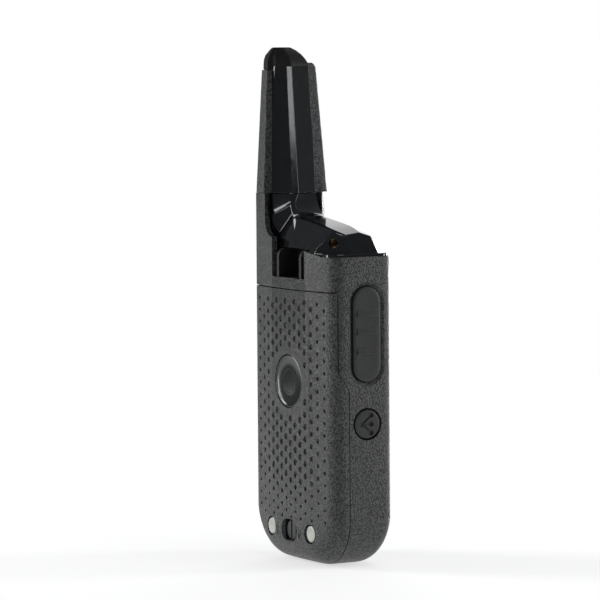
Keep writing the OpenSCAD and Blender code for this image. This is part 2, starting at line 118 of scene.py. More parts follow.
def softbox(name, bearing, distance, height, width, tall, power):
    """A flat lamp that stands at a compass bearing from the radio, from +X towards +Y, and faces it."""
    data = bpy.data.lights.new(name, "AREA")
    data.shape, data.size, data.size_y = "RECTANGLE", width, tall
    data.energy = power
    lamp = bpy.data.objects.new(name, data)
    turn = math.radians(bearing)
    lamp.location = (distance * math.cos(turn), distance * math.sin(turn), height)
    facing = LAMP_TARGET - lamp.location
    lamp.rotation_mode = "QUATERNION"
    lamp.rotation_quaternion = facing.to_track_quat("-Z", "Y")
    lamp.visible_camera = False
    bpy.context.scene.collection.objects.link(lamp)


def make_lights():
    """Each lamp: bearing in degrees, distance and height, width and height of its panel, watts."""
    softbox("key", 46, 1.5, 0.45, 0.45, 1.3, 14)
    softbox("card", 64, 1.2, 0.325, 0.22, 0.17, 0.7)
    softbox("strip", 127, 1.5, 0.58, 0.12, 0.7, 1.3)
    softbox("fill", 247, 1.6, 0.35, 0.4, 0.9, 12)
    softbox("side", 303, 1.5, 0.12, 0.5, 0.28, 6)
    softbox("overhead", 200, 0.6, 1.2, 0.8, 0.8, 2.5)
    softbox("backdrop", -30, 1.8, 0.5, 1.2, 1.8, 10)


def make_world():
    """White to the camera, a dim even fill to everything else."""
    world = bpy.data.worlds.new("studio")
    world.use_nodes = True
    nodes, links = world.node_tree.nodes, world.node_tree.links
    nodes.clear()
    out = nodes.new("ShaderNodeOutputWorld")
    fill, white = nodes.new("ShaderNodeBackground"), nodes.new("ShaderNodeBackground")
    fill.inputs["Color"].default_value = (0.94, 0.98, 1, 1)
    fill.inputs["Strength"].default_value = 0.14
    white.inputs["Color"].default_value = (1, 1, 1, 1)
    white.inputs["Strength"].default_value = 1.0
    mix, path = nodes.new("ShaderNodeMixShader"), nodes.new("ShaderNodeLightPath")
    links.new(path.outputs["Is Camera Ray"], mix.inputs["Fac"])
    links.new(fill.outputs[0], mix.inputs[1])
    links.new(white.outputs[0], mix.inputs[2])
    links.new(mix.outputs[0], out.inputs["Surface"])
    bpy.context.scene.world = world
    bpy.context.scene.view_settings.view_transform = "Standard"


def make_floor():
    """A pale square just under the radio, bright enough to read as white."""
    mesh = bpy.data.meshes.new("floor")
    half, drop = 0.5, 0.0002
    corners = [(-half, -half, 0), (half, -half, 0), (half, half, 0), (-half, half, 0)]
    mesh.from_pydata(corners, [], [(0, 1, 2, 3)])
    floor = bpy.data.objects.new("floor", mesh)
    floor.location.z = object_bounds()[0].z - drop
    bpy.context.scene.collection.objects.link(floor)
    mat = bpy.data.materials.new("pale_floor")
    mat.use_nodes = True
    shader = mat.node_tree.nodes["Principled BSDF"]
    shader.inputs["Base Color"].default_value = (0.65, 0.65, 0.65, 1)
    shader.inputs["Roughness"].default_value = 0.9
    shader.inputs["Specular IOR Level"].default_value = 0.1
    shader.inputs["Emission Color"].default_value = (1, 1, 1, 1)
    shader.inputs["Emission Strength"].default_value = 0.6
    mesh.materials.append(mat)


# ---------------------------------------------------------------- materials


class Finish:
    """A Principled material with object-space procedural detail; sizes are in millimetres."""

    def __init__(self, name, colour, rough, metal=0.0, specular=0.5):
        self.mat = bpy.data.materials.new(name)
        self.mat.use_nodes = True
        self.nodes, self.links = self.mat.node_tree.nodes, self.mat.node_tree.links
        self.shader = self.nodes["Principled BSDF"]
        self.set("Base Color", (*colour, 1))
        self.set("Roughness", rough)
        self.set("Metallic", metal)
        self.set("Specular IOR Level", specular)
        self.place = self.nodes.new("ShaderNodeTexCoord")
        self.height = None

    def set(self, socket, value):
        self.shader.inputs[socket].default_value = value

    def noise(self, size, detail=3.0, rough=0.5, stretch=(1, 1, 1)):
        """Noise with blobs of about that size, in millimetres."""
        mapping = self.nodes.new("ShaderNodeMapping")
        mapping.inputs["Scale"].default_value = stretch
        self.links.new(self.place.outputs["Object"], mapping.inputs["Vector"])
        node = self.nodes.new("ShaderNodeTexNoise")
        node.inputs["Scale"].default_value = 1 / (size * MM)
        node.inputs["Detail"].default_value = detail
        node.inputs["Roughness"].default_value = rough
        self.links.new(mapping.outputs[0], node.inputs["Vector"])
        return node.outputs["Fac"]

    def spread(self, value, low, high, floor=0.35, ceiling=0.65):
        """A 0 to 1 signal mapped to a range, for roughness and masks."""
        node = self.nodes.new("ShaderNodeMapRange")
        node.inputs["From Min"].default_value = floor
        node.inputs["From Max"].default_value = ceiling
        node.inputs["To Min"].default_value = low
        node.inputs["To Max"].default_value = high
        self.links.new(value, node.inputs["Value"])
        return node.outputs["Result"]

    def tint(self, value, low, high, floor=0.35, ceiling=0.65):
        """Two colours mixed by a signal, for the base colour."""
        ramp = self.nodes.new("ShaderNodeValToRGB")
        ramp.color_ramp.elements[0].position = floor
        ramp.color_ramp.elements[0].color = (*low, 1)
        ramp.color_ramp.elements[1].position = ceiling
        ramp.color_ramp.elements[1].color = (*high, 1)
        self.links.new(value, ramp.inputs["Fac"])
        return ramp.outputs["Color"]

    def edges(self, width, sharp=0.12):
        """About 1 along edges and corners, 0 on open faces."""
        bevel = self.nodes.new("ShaderNodeBevel")
        bevel.samples = 4
        bevel.inputs["Radius"].default_value = width * MM
        geometry = self.nodes.new("ShaderNodeNewGeometry")
        dot = self.nodes.new("ShaderNodeVectorMath")
        dot.operation = "DOT_PRODUCT"
        self.links.new(bevel.outputs[0], dot.inputs[0])
        self.links.new(geometry.outputs["Normal"], dot.inputs[1])
        return self.spread(dot.outputs["Value"], 1.0, 0.0, 1.0 - sharp, 1.0)

    def drive(self, socket, value):
        self.links.new(value, self.shader.inputs[socket])

    def bump(self, value, height, strength=1.0):
        """Adds relief of that height, in millimetres; later calls stack on earlier ones."""
        node = self.nodes.new("ShaderNodeBump")
        node.inputs["Strength"].default_value = strength
        node.inputs["Distance"].default_value = height * MM
        self.links.new(value, node.inputs["Height"])
        if self.height is not None:
            self.links.new(self.height, node.inputs["Normal"])
        self.height = node.outputs[0]
        self.links.new(self.height, self.shader.inputs["Normal"])


MIX_A, MIX_B, MIX_RESULT = 6, 7, 2  # the colour sockets of a Mix node


def wear_and_painted_edge_highlight(finish, base, high, speckle, edge=0.25, pale=(0.12, 0.125, 0.12), amount=0.4):
    """Base colour that varies with a signal and pales a little along edges, partly as wear and partly as a
    painted highlight where rounded edges would catch the light.
    """
    colour = finish.tint(speckle, base, high)
    mix = finish.nodes.new("ShaderNodeMix")
    mix.data_type = "RGBA"
    # paler along edges: partly wear, partly a painted highlight standing in for rounded-edge highlights
    mask = finish.spread(finish.edges(edge), 0.0, amount, 0.0, 1.0)
    finish.links.new(mask, mix.inputs["Factor"])
    finish.links.new(colour, mix.inputs[MIX_A])
    mix.inputs[MIX_B].default_value = (*pale, 1)
    finish.drive("Base Color", mix.outputs[MIX_RESULT])


def grained_plastic():
    f = Finish("grained_plastic", (0.03, 0.032, 0.031), 0.42)
    speckle = f.spread(f.noise(0.62, 2.0, 0.6), 0.0, 1.0, 0.36, 0.64)
    # the base colour follows the grain relief: partly grain tone, lighter on raised points as painted
    # glints, darker in the hollows as painted shade
    wear_and_painted_edge_highlight(f, (0.002, 0.002, 0.002), (0.056, 0.06, 0.058), speckle, amount=0.25)
    f.drive("Roughness", f.spread(f.noise(3.0), 0.36, 0.46))
    f.bump(speckle, 0.16, 0.9)
    f.bump(f.noise(0.3, 2.0), 0.04, 0.6)
    return f.mat


def gloss_plastic():
    f = Finish("gloss_plastic", (0.006, 0.0065, 0.008), 0.06, specular=0.6)
    wear_and_painted_edge_highlight(f, (0.005, 0.0055, 0.0075), (0.008, 0.0085, 0.01), f.noise(4.0), 0.15, amount=0.2)
    f.drive("Roughness", f.spread(f.noise(1.5, 6.0), 0.05, 0.10))
    f.bump(f.noise(6.0, 2.0), 0.01, 0.3)
    return f.mat


def button_rubber():
    f = Finish("button_rubber", (0.014, 0.015, 0.015), 0.5)
    wear_and_painted_edge_highlight(f, (0.012, 0.013, 0.013), (0.019, 0.02, 0.02), f.noise(1.0, 4.0), 0.3, amount=0.3)
    f.drive("Roughness", f.spread(f.noise(0.6, 4.0), 0.48, 0.62))
    f.bump(f.noise(0.12, 2.0), 0.006, 0.5)
    return f.mat


def satin_cap():
    f = Finish("satin_cap", (0.012, 0.012, 0.011), 0.5, specular=0.15)
    wear_and_painted_edge_highlight(f, (0.01, 0.01, 0.009), (0.015, 0.015, 0.014), f.noise(1.2, 4.0), 0.25, amount=0.25)
    f.drive("Roughness", f.spread(f.noise(0.8, 4.0), 0.44, 0.56))
    f.bump(f.noise(0.2, 2.0), 0.005, 0.5)
    return f.mat


def inner_black():
    f = Finish("inner_black", (0.006, 0.006, 0.006), 0.6, specular=0.3)
    wear_and_painted_edge_highlight(f, (0.005, 0.005, 0.005), (0.008, 0.008, 0.008), f.noise(2.0), 0.3, amount=0.1)
    f.drive("Roughness", f.spread(f.noise(1.0, 4.0), 0.5, 0.7))
    f.bump(f.noise(0.3, 2.0), 0.01, 0.4)
    return f.mat


def chassis_plastic():
    f = Finish("chassis_plastic", (0.1, 0.1, 0.1), 0.5)
    wear_and_painted_edge_highlight(f, (0.09, 0.09, 0.09), (0.12, 0.12, 0.12), f.noise(1.5), 0.3, amount=0.3)
    f.drive("Roughness", f.spread(f.noise(1.0, 4.0), 0.4, 0.6))
    f.bump(f.noise(0.2, 2.0), 0.01, 0.5)
    return f.mat


def metal(name, colour, rough):
    """Satin metal with fine scratches, and brighter edges that are partly wear and partly a painted
    highlight.
    """
    scratch = 0.25
    f = Finish(name, colour, rough, metal=1.0)
    wear_and_painted_edge_highlight(f, tuple(c * 0.86 for c in colour), colour, f.noise(0.9, 5.0, 0.6), 0.2,
         tuple(min(1.0, c * 1.1) for c in colour), 0.6)
    f.drive("Roughness", f.spread(f.noise(scratch, 3.0, 0.6), rough * 0.75, rough * 1.3))
    f.bump(f.noise(scratch, 3.0, 0.6), 0.004, 0.5)
    return f.mat


def board_green():
    f = Finish("board", (0.02, 0.09, 0.045), 0.4)
    f.drive("Base Color", f.tint(f.noise(1.6, 2.0), (0.015, 0.075, 0.035), (0.03, 0.12, 0.06), 0.45, 0.55))
    f.drive("Roughness", f.spread(f.noise(0.8), 0.3, 0.5))
    f.bump(f.noise(1.0, 2.0), 0.02, 0.4)
    return f.mat


def cloth():
    f = Finish("cloth", (0.02, 0.02, 0.02), 0.9)
    weave = f.noise(0.3, 1.0)
    f.drive("Base Color", f.tint(weave, (0.01, 0.01, 0.01), (0.035, 0.035, 0.035)))
    f.bump(weave, 0.08, 0.8)
    return f.mat


def wrap():
    f = Finish("wrap", (0.02, 0.05, 0.16), 0.3)
    f.drive("Base Color", f.tint(f.noise(8.0), (0.016, 0.042, 0.14), (0.024, 0.058, 0.18)))
    f.drive("Roughness", f.spread(f.noise(1.2, 5.0), 0.22, 0.38))
    f.bump(f.noise(5.0, 3.0), 0.05, 0.4)
    return f.mat


def window():
    f = Finish("window", (0.004, 0.005, 0.006), 0.04, specular=0.6)
    f.drive("Roughness", f.spread(f.noise(2.0, 6.0), 0.03, 0.08))
    f.drive("Base Color", f.tint(f.noise(9.0), (0.003, 0.004, 0.005), (0.006, 0.007, 0.008)))
    f.bump(f.noise(8.0, 2.0), 0.004, 0.3)
    return f.mat


def display():
    f = Finish("display", (0.03, 0.05, 0.05), 0.2)
    f.drive("Base Color", f.tint(f.noise(6.0), (0.02, 0.035, 0.035), (0.035, 0.05, 0.05)))
    f.drive("Roughness", f.spread(f.noise(2.0, 4.0), 0.15, 0.3))
    f.bump(f.noise(4.0, 2.0), 0.004, 0.3)
    return f.mat


def badge():
    f = Finish("badge", (0.009, 0.01, 0.0095), 0.12)
    wear_and_painted_edge_highlight(f, (0.008, 0.009, 0.0085), (0.011, 0.012, 0.0115), f.noise(0.8, 4.0), 0.2, amount=0.5)
    f.drive("Roughness", f.spread(f.noise(0.5, 5.0), 0.1, 0.14))
    f.bump(f.noise(0.15, 3.0), 0.004, 0.5)
    return f.mat


def lens():
    f = Finish("lens", (0.35, 0.33, 0.28), 0.25)
    f.set("Transmission Weight", 0.3)
    f.drive("Roughness", f.spread(f.noise(0.5, 3.0), 0.18, 0.32))
    f.drive("Base Color", f.tint(f.noise(2.0), (0.3, 0.28, 0.24), (0.4, 0.38, 0.33)))
    f.bump(f.noise(0.3, 2.0), 0.01, 0.4)
    return f.mat


def make_finishes():
    return {
        "grained_plastic": grained_plastic(),
        "gloss_plastic": gloss_plastic(),
        "satin_cap": satin_cap(),
        "button_rubber": button_rubber(),
        "inner_black": inner_black(),
        "chassis_plastic": chassis_plastic(),
        "steel": metal("steel", (0.42, 0.42, 0.41), 0.35),
        "contact_silver": metal("contact_silver", (0.41, 0.42, 0.39), 0.5),
        "brass": metal("brass", (0.55, 0.4, 0.18), 0.3),
        "copper": metal("copper", (0.55, 0.26, 0.14), 0.32),
        "board": board_green(),
        "cloth": cloth(),
        "wrap": wrap(),
        "window": window(),
        "display": display(),
        "badge": badge(),
        "lens": lens(),
    }


def dress_cad_nodes():
    """Every CAD node takes the finish of its own material slot."""
    for node in NODES.values():
        for place in node.material_slots:
            wanted = place.material.name.split(".")[0] if place.material else ""
            if wanted in FINISHES:
                place.material = FINISHES[wanted]


# ---------------------------------------------------------------- mesh helpers; sizes in millimetres


def middle(node):
    """Centre of a CAD node's box."""
    return [(low + high) / 2 / MM for low, high in zip(*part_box(node))]


def solid(name, verts, faces):
    """A mesh object from millimetre points, with its normals facing out."""
    mesh = bpy.data.meshes.new(name)
    mesh.from_pydata([Vector(v) * MM for v in verts], [], faces)
    bm = bmesh.new()
    bm.from_mesh(mesh)
    bmesh.ops.remove_doubles(bm, verts=bm.verts, dist=0.0005 * MM)
    bmesh.ops.recalc_face_normals(bm, faces=bm.faces)
    bm.to_mesh(mesh)
    bm.free()
    obj = bpy.data.objects.new(name, mesh)
    bpy.context.scene.collection.objects.link(obj)
    return obj


def from_cad(node):
    """A welded copy of a CAD node's mesh, to be worked on."""
    bm = bmesh.new()
    bm.from_mesh(NODES[node].data)
    bmesh.ops.remove_doubles(bm, verts=bm.verts, dist=0.002 * MM)
    mesh = bpy.data.meshes.new(node + "_skin")
    bm.to_mesh(mesh)
    bm.free()
    obj = bpy.data.objects.new(mesh.name, mesh)
    bpy.context.scene.collection.objects.link(obj)
    return obj


def bake_modifiers(obj):
    """Applies the object's modifiers to its mesh."""
    graph = bpy.context.evaluated_depsgraph_get()
    mesh = bpy.data.meshes.new_from_object(obj.evaluated_get(graph))
    obj.modifiers.clear()
    old, obj.data = obj.data, mesh
    bpy.data.meshes.remove(old)
    mesh.name = obj.name


def carve(obj, *tools, how="DIFFERENCE"):
    """Cuts the tools out of the object, joins them to it, or keeps what they share; then deletes them."""
    for tool in tools:
        cut = obj.modifiers.new("cut", "BOOLEAN")
        cut.operation, cut.object, cut.solver = how, tool, "MANIFOLD"
    bake_modifiers(obj)
    for tool in tools:
        bpy.data.objects.remove(tool)


def soften(obj, width, angle=24, segments=3):
    """Rounds the edges that turn by more than that angle."""
    bevel = obj.modifiers.new("ease", "BEVEL")
    bevel.width, bevel.segments, bevel.limit_method = width * MM, segments, "ANGLE"
    bevel.angle_limit = math.radians(angle)
    bevel.use_clamp_overlap = True
    bake_modifiers(obj)


def flatten_normals(obj):
    """Large faces keep their own normals; only the small ones between them blend."""
    weigh = obj.modifiers.new("weigh", "WEIGHTED_NORMAL")
    weigh.mode, weigh.weight, weigh.keep_sharp = "FACE_AREA", 80, True
    bake_modifiers(obj)


def settle(obj, node, finish, sharp=32, stands_for=True):
    """Shades and finishes the piece and puts it on the body of its CAD node, which it may stand for."""
    for face in obj.data.polygons:
        face.use_smooth = True
    obj.data.set_sharp_from_angle(angle=math.radians(sharp))
    obj.data.materials.clear()
    obj.data.materials.append(FINISHES[finish])
    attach(obj, body_of(NODES[node])[0])
    if stands_for:
        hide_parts(node)


def spin(profile, segments=24):
    """Points and faces of a closed solid turned about +Y.

    The profile is a list of [radius, y], from the axis back to it, or a loop that ends where it starts.
    """
    verts, faces, rows = [], [], []
    for radius, y in profile:
        if radius == 0:
            rows.append([len(verts)])
            verts.append((0, y, 0))
        else:
            rows.append(list(range(len(verts), len(verts) + segments)))
            for i in range(segments):
                a = 2 * math.pi * i / segments
                verts.append((radius * math.cos(a), y, radius * math.sin(a)))
    for a, b in zip(rows, rows[1:]):
        for i in range(segments):
            j = (i + 1) % segments
            faces.append([r[k % len(r)] for r, k in ((a, i), (a, j), (b, j), (b, i))])
    return verts, [tuple(dict.fromkeys(f)) for f in faces]


def many(shapes):
    """One list of points and faces from several, each moved to its place."""
    verts, faces = [], []
    for (points, polygons), (x, y, z) in shapes:
        base = len(verts)
        verts += [(p[0] + x, p[1] + y, p[2] + z) for p in points]
        faces += [tuple(i + base for i in f) for f in polygons]
    return verts, faces


def loft(rings):
    """Points and faces of a closed solid through rings of equal count, in order."""
    count = len(rings[0])
    verts = [p for ring in rings for p in ring]
    faces = [tuple(range(count)), tuple(range(len(verts) - count, len(verts)))]
    for k in range(len(rings) - 1):
        for i in range(count):
            j = (i + 1) % count
            faces.append((k * count + i, k * count + j, (k + 1) * count + j, (k + 1) * count + i))
    return verts, faces


def prism(name, outline, depths):
    """A solid with one outline in X and Z, drawn between the given depths along Y."""
    return solid(name, *loft([[(x, y, z) for x, z in outline] for y in depths]))


def stack(name, layers):
    """A solid through flat outlines in X and Y, each at its own height."""
    return solid(name, *loft([[(x, y, z) for x, y in outline] for z, outline in layers]))


def aim(shape, place, turn=0):
    """Moves a shape spun about +Y to its place, after turning it about Z by that many degrees."""
    verts, faces = shape
    c, s = math.cos(math.radians(turn)), math.sin(math.radians(turn))
    moved = [(place[0] + c * x - s * y, place[1] + s * x + c * y, place[2] + z) for x, y, z in verts]
    return moved, faces


def block(name, lo, hi):
    """A box that is only cut out or joined on."""
    verts = [(x, y, z) for x in (lo[0], hi[0]) for y in (lo[1], hi[1]) for z in (lo[2], hi[2])]
    faces = [(0, 1, 3, 2), (4, 6, 7, 5), (0, 4, 5, 1), (2, 3, 7, 6), (0, 2, 6, 4), (1, 5, 7, 3)]
    return solid(name, verts, faces)


# ---------------------------------------------------------------- body


SKIN = 0.02  # the finished surface lies this far inside the CAD surface
HOUSING_LO, HOUSING_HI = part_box("front_housing")
HALF_W = HOUSING_HI.x / MM
FRONT = -HOUSING_LO.y / MM
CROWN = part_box("battery_door")[1].y / MM  # depth of the back at its middle
CROWN_R = 160  # of the back, across the radio
CORNER_R = 17.1  # of the two lower corners
BACK_ROUND = (3.6, 4.6)  # of the back's long edges: antenna side, button side
FRONT_ROUND = 4.1
BASE_BACK = 9  # rounding of the back and of the front where they meet the base
BASE_FRONT = 7.3
SIDE_STEPS, CORNER_STEPS, BASE_STEPS = 8, 20, 12


def crown(x):
    """Depth of the crowned back at x."""
    return CROWN - SKIN - CROWN_R + math.sqrt(CROWN_R**2 - x * x)


def body_outline(top):
    """Points and inward normals from the top right, round the base, to the top left, seen from the back."""
    half, r = HALF_W - SKIN, CORNER_R
    right = [(half, top - (top - r) * i / SIDE_STEPS, -1, 0) for i in range(SIDE_STEPS)]
    corner = []
    for i in range(CORNER_STEPS + 1):
        a = math.radians(90 * i / CORNER_STEPS)
        corner.append((half - r + r * math.cos(a), SKIN + r - r * math.sin(a), -math.cos(a), math.sin(a)))
    base = [((half - r) * (1 - i / BASE_STEPS), SKIN, 0, 1) for i in range(1, BASE_STEPS + 1)]
    path = right + corner + base
    return path + [(-x, z, -nx, nz) for x, z, nx, nz in reversed(path[:-1])]


def pillow():
    """The radio's outer form: crowned back, flat front, and edges that round more towards the base."""
    top = 135  # above everything that is cut with it
    outline = body_outline(top)
    inner = CORNER_R - 0.4
    quarter = [math.radians(7.5 * i) for i in range(13)]
    rings = []

    def back(nx, nz):
        side = BACK_ROUND[0] if nx < 0 else BACK_ROUND[1]
        return side + (BASE_BACK - side) * nz

    def face(nz):
        return FRONT_ROUND + (BASE_FRONT - FRONT_ROUND) * nz

    def ring(depth_of):
        points = []
        for x, z, nx, nz in outline:
            inset, y = depth_of(x, nx, nz)
            px = x + nx * inset
            points.append((px, y(px), z + nz * inset))
        rings.append(points)

    for i in range(6):
        ring(lambda x, nx, nz, t=i / 6: (inner + (back(nx, nz) - inner) * t, crown))
    for a in reversed(quarter):
        ring(lambda x, nx, nz, a=a: (back(nx, nz) * (1 - math.cos(a)),
                                     lambda px: crown(px) - back(nx, nz) * (1 - math.sin(a))))
    for a in quarter:
        ring(lambda x, nx, nz, a=a: (face(nz) * (1 - math.cos(a)),
                                     lambda px: SKIN - FRONT + face(nz) * (1 - math.sin(a))))
    for i in range(1, 4):
        ring(lambda x, nx, nz, t=i / 3: (face(nz) + (inner - face(nz)) * t,
                                         lambda px: SKIN - FRONT))
    count = len(outline)
    verts = [p for points in rings for p in points]
    faces = []
    for k in range(len(rings) - 1):
        for i in range(count - 1):
            faces.append((k * count + i, k * count + i + 1, (k + 1) * count + i + 1, (k + 1) * count + i))
    first = SIDE_STEPS + CORNER_STEPS
    last = count - 1 - first
    lid = []
    for k in (0, len(rings) - 1):
        tops = []
        for i in range(first, last + 1):
            x, y, _ = rings[k][i]
            tops.append(len(verts))
            verts.append((x, y, top))
        row = [k * count + i for i in range(count)]
        faces += [(tops[i], row[first + i], row[first + i + 1], tops[i + 1]) for i in range(len(tops) - 1)]
        faces.append(tuple(row[:first + 1] + [tops[0]]))
        faces.append(tuple(row[last:] + [tops[-1]]))
        lid.append(tops)
    starts = [k * count for k in range(len(rings))]
    ends = [k * count + count - 1 for k in range(len(rings))]
    faces.append(tuple(starts + lid[1] + ends[::-1] + lid[0][::-1]))
    return solid("pillow", verts, faces)


def dimple(r):
    """A round pit with an eased rim, to be cut into a surface at y = 0."""
    deep, shoulder = 0.75, 0.2
    wall = [(r + 0.5, 0.45), (r + 0.14, 0.02), (r + 0.04, -0.08), (r, -shoulder)]
    bowl = [(r * math.cos(a), -shoulder - (deep - shoulder) * math.sin(a)) for a in (0.4, 0.8, 1.2)]
    return spin([(0, 0.45)] + wall + bowl + [(0, -deep)], 20)


def dimple_field():
    """Staggered columns of pits that shrink towards the sides and the base, and leave room for the badge."""
    columns = [1.6, 4.85, 8.15, 11.35, 15.15, 18.85, 22.75]
    pitch, low, high, rows = 4.36, 16.2, 93, 19
    badge_room, radius = 12.2, 1.08
    badge_z = middle("badge_disc")[2]
    shapes = []
    for side in (-1, 1):
        for i, x in enumerate(columns):
            rise = 0.5 * ((i + (side > 0)) % 2)
            for k in range(rows):
                z = low + (k + rise) * pitch
                if z > high or math.hypot(x, z - badge_z) < badge_room:
                    continue
                fade = min(1, (z - low + 6) / 22) * (1 - 0.42 * max(0, (x - 9) / 14) ** 1.5)
                shapes.append((dimple(radius * max(0.5, fade)), (side * x, crown(x), z)))
    return solid("dimples", *many(shapes))


def borrow_normals(obj, form):
    """The outer surface is shaded from the smooth form it was cut from; the flat front stays flat."""
    reach, alike, straight_ahead = 0.04 * MM, 0.93, -0.999
    source, mesh = form.data, obj.data
    tree = BVHTree.FromPolygons([v.co for v in source.vertices], [p.vertices for p in source.polygons])
    smooth = [v.normal.copy() for v in source.vertices]
    normals = [n.vector.copy() for n in mesh.corner_normals]
    for face in mesh.polygons:
        flat_front = face.normal.y < straight_ahead
        for loop in face.loop_indices:
            if flat_front:
                normals[loop] = face.normal.copy()
                continue
            point = mesh.vertices[mesh.loops[loop].vertex_index].co
            spot, flat, index, _ = tree.find_nearest(point, reach)
            if spot is None or flat.dot(face.normal) < alike:
                continue
            corners = source.polygons[index].vertices
            weights = poly_3d_calc([source.vertices[i].co for i in corners], spot)
            blend = sum((smooth[i] * w for i, w in zip(corners, weights)), Vector())
            normals[loop] = blend.normalized()
    mesh.normals_split_custom_set(normals)


def make_shells():
    """The three grained shells: CAD shapes trimmed to the rounded form, with openings, dimples and icons."""
    form = pillow()
    for node in ("front_housing", "rear_housing", "battery_door"):
        skin = from_cad(node)
        if node == "front_housing":
            # closes the opening of the talk button, so that the scooped one can be cut afresh
            y, z = PTT_PLACE
            carve(skin, block("fill", (-28.9, y - 7.5, z - 19.1), (-27, y + 7.4, z + 19.1)), how="UNION")
        if node == "rear_housing":
            rise = [(-21.5, 108), (-11.35, 108), (-11.35, 110.6), (-21.5, 109)]
            carve(skin, prism("lip", rise, (11.1, 13.5)), how="UNION")
        keep = form.copy()
        bpy.context.scene.collection.objects.link(keep)
        carve(skin, keep, how="INTERSECT")
        if node == "front_housing":
            carve(skin, *button_openings())
        if node == "battery_door":
            carve(skin, dimple_field(), *lock_icons())
        settle(skin, node, "grained_plastic")
        borrow_normals(skin, form)
    bpy.data.objects.remove(form)


# ---------------------------------------------------------------- gloss cover


GLIDE_STEPS = 3  # between neighbouring points of a smooth run
JACK_AT, JACK_TURN = (-22.9, 7.7, 113.6), 40


def glide(points):
    """A smooth run through the points."""
    run = []
    for i in range(len(points) - 1):
        before = Vector(points[max(0, i - 1)])
        a, b = Vector(points[i]), Vector(points[i + 1])
        after = Vector(points[min(len(points) - 1, i + 2)])
        for k in range(GLIDE_STEPS):
            t = k / GLIDE_STEPS
            run.append(0.5 * (2 * a + (b - before) * t + (2 * before - 5 * a + 4 * b - after) * t * t
                              + (3 * a - before - 3 * b + after) * t**3))
    return run + [Vector(points[-1])]


